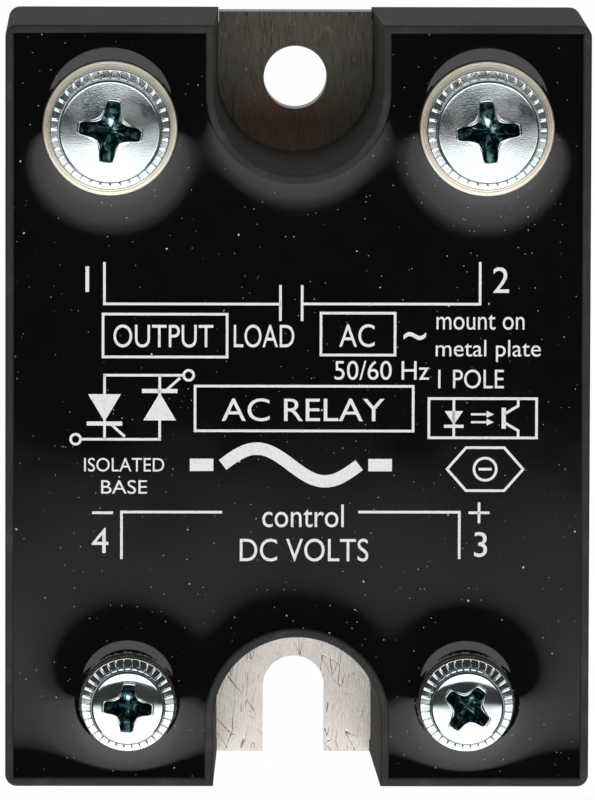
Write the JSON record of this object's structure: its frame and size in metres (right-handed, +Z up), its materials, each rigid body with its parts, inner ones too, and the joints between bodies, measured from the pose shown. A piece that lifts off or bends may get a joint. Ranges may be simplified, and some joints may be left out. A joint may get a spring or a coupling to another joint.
{
  "type": "solid state relay",
  "caption": "Flat rectangular panel-mount relay: metal base plate, moulded case filled with epoxy, screw terminals with serrated washers, and a mounting recess in each end.",
  "frame": {"origin": "centre of the base plate's underside", "axes": "+Z up out of the heat sink, +Y towards the load terminals, +X towards load terminal 2 and control terminal 3"},
  "size_m": [0.0446, 0.0582, 0.027],
  "materials": {
    "case_plastic": "fine moulded texture, satin",
    "epoxy": "glossy self-levelled potting",
    "gel": "soft clear silicone",
    "adhesive": "cured adhesive bead",
    "plate_metal": "nickel-plated, brushed and scratched",
    "zinc_steel": "bright zinc plating",
    "post_metal": "tin-plated brass, turned",
    "copper": "bare copper",
    "solder": "reflowed solder",
    "ceramic": "white alumina",
    "silicon": "polished silicon die",
    "board_laminate": "green solder mask over glass epoxy",
    "component_black": "moulded component body",
    "component_grey": "cement or lacquer coated component",
    "component_blue": "lacquered disc",
    "component_tan": "lacquered resistor body",
    "component_yellow": "film capacitor box",
    "legend_ink": "screen-printed off-white ink"
  },
  "bodies": {
    "housing": {"case_shell": "case_plastic", "base_plate": "plate_metal", "base_seal": "adhesive", "epoxy_fill": "epoxy", "gel_fill": "gel", "substrate_solder": "solder", "substrate_back_foil": "copper", "ceramic_substrate": "ceramic", "load_pad_1": "copper", "load_pad_2": "copper", "gate_pads": "copper", "thyristor_die_1": "silicon", "thyristor_die_2": "silicon", "die_clip_1": "copper", "die_clip_2": "copper", "gate_ribbons": "solder", "load_strap_1": "copper", "load_strap_2": "copper", "load_post_1": "post_metal", "load_post_2": "post_metal", "control_post_3": "post_metal", "control_post_4": "post_metal", "control_pin_3": "post_metal", "control_pin_4": "post_metal", "line_pins": "post_metal", "gate_pins": "post_metal", "driver_board": "board_laminate", "optocoupler": "component_black", "optocoupler_leads": "solder", "snubber_resistor": "component_grey", "snubber_capacitor": "component_yellow", "varistor": "component_blue", "gate_resistors": "component_tan", "input_resistors": "component_tan", "input_diode": "component_black", "input_transistor": "component_black"},
    "load_washer_1": {"load_washer_1": "zinc_steel"},
    "load_screw_1": {"load_screw_1": "zinc_steel"},
    "load_washer_2": {"load_washer_2": "zinc_steel"},
    "load_screw_2": {"load_screw_2": "zinc_steel"},
    "control_washer_3": {"control_washer_3": "zinc_steel"},
    "control_screw_3": {"control_screw_3": "zinc_steel"},
    "control_washer_4": {"control_washer_4": "zinc_steel"},
    "control_screw_4": {"control_screw_4": "zinc_steel"}
  },
  "joints": [
    {"name": "terminal_1_lift", "type": "slide", "parent": "housing", "child": "load_washer_1", "axis": [0, 0, 1], "range_m": [0, 0.006]},
    {"name": "terminal_1_turn", "type": "hinge", "parent": "load_washer_1", "child": "load_screw_1", "pos_m": [-0.0143, 0.0213, 0.0233], "axis": [0, 0, 1], "range_deg": [0, 3086]},
    {"name": "terminal_2_lift", "type": "slide", "parent": "housing", "child": "load_washer_2", "axis": [0, 0, 1], "range_m": [0, 0.006]},
    {"name": "terminal_2_turn", "type": "hinge", "parent": "load_washer_2", "child": "load_screw_2", "pos_m": [0.0143, 0.0213, 0.0233], "axis": [0, 0, 1], "range_deg": [0, 3086]},
    {"name": "terminal_3_lift", "type": "slide", "parent": "housing", "child": "control_washer_3", "axis": [0, 0, 1], "range_m": [0, 0.005]},
    {"name": "terminal_3_turn", "type": "hinge", "parent": "control_washer_3", "child": "control_screw_3", "pos_m": [0.0129, -0.0226, 0.0233], "axis": [0, 0, 1], "range_deg": [0, 3600]},
    {"name": "terminal_4_lift", "type": "slide", "parent": "housing", "child": "control_washer_4", "axis": [0, 0, 1], "range_m": [0, 0.005]},
    {"name": "terminal_4_turn", "type": "hinge", "parent": "control_washer_4", "child": "control_screw_4", "pos_m": [-0.0129, -0.0226, 0.0233], "axis": [0, 0, 1], "range_deg": [0, 3600]}
  ],
  "couplings": [
    {"joint": "terminal_1_turn", "follows": "terminal_1_lift", "rad_per_m": 8976},
    {"joint": "terminal_2_turn", "follows": "terminal_2_lift", "rad_per_m": 8976},
    {"joint": "terminal_3_turn", "follows": "terminal_3_lift", "rad_per_m": 12566},
    {"joint": "terminal_4_turn", "follows": "terminal_4_lift", "rad_per_m": 12566}
  ]
}
